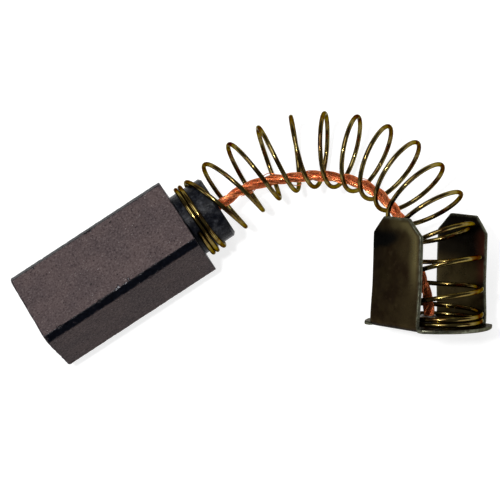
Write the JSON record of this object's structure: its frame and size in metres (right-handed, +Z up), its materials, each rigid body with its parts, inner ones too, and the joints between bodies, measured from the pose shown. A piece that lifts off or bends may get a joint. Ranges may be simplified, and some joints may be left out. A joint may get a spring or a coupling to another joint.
{
  "type": "carbon brush",
  "caption": "Rectangular carbon brush with a round rear boss, a long helical spring bent in an arch over a stranded copper lead, and a folded two-ear metal end cap.",
  "frame": {"origin": "on the surface the brush lies on, under the middle of the box that just holds the brush", "axes": "+X along the carbon block from its contact end to its rear face, +Z up from the surface, +Y completes a right-handed frame"},
  "size_m": [0.0404, 0.0294, 0.0134],
  "materials": {
    "carbon": "pressed carbon graphite, satin and slightly porous",
    "powder": "rammed copper and graphite powder",
    "spring_wire": "drawn bronze wire, bright with a brown film",
    "copper": "bare stranded copper",
    "joint_metal": "dull tin-grey joint metal",
    "cap_sheet": "brass sheet with a dark olive-brown patina"
  },
  "bodies": {
    "root": {"carbon_block": "carbon", "powder_plug": "powder", "coil_spring": "spring_wire", "copper_lead": "copper", "lead_joint": "joint_metal", "end_cap": "cap_sheet"}
  },
  "joints": []
}
